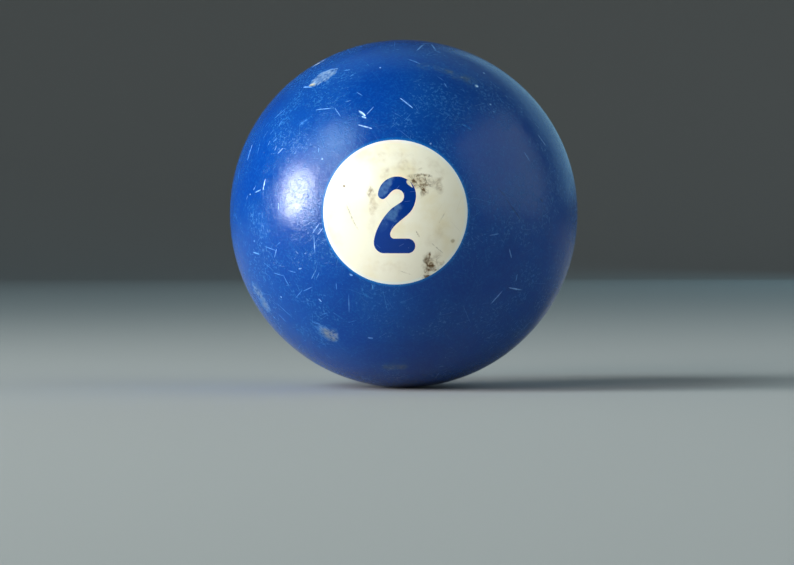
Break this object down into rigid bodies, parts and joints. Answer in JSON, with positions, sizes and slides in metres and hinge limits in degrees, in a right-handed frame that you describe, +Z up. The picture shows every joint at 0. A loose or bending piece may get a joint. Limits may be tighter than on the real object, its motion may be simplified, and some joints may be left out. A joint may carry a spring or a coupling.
{
  "type": "numbered pool ball",
  "caption": "Solid blue pool ball with an ivory disc and a blue numeral let flush into each of two opposite sides.",
  "frame": {"origin": "the ball's centre", "axes": "+Z up, upright with the numerals; the front number faces -Y and the back number faces +Y"},
  "size_m": [0.0572, 0.0572, 0.0572],
  "materials": {
    "blue_resin": "polished cast resin, worn, with fine scratches and small chips",
    "ivory_resin": "polished cast resin, yellowed, with brown smudges",
    "numeral_resin": "polished cast resin, worn pale in places"
  },
  "bodies": {
    "root": {"ball_body": "blue_resin", "front_number_disc": "ivory_resin", "back_number_disc": "ivory_resin", "front_numeral": "numeral_resin", "back_numeral": "numeral_resin"}
  },
  "joints": []
}
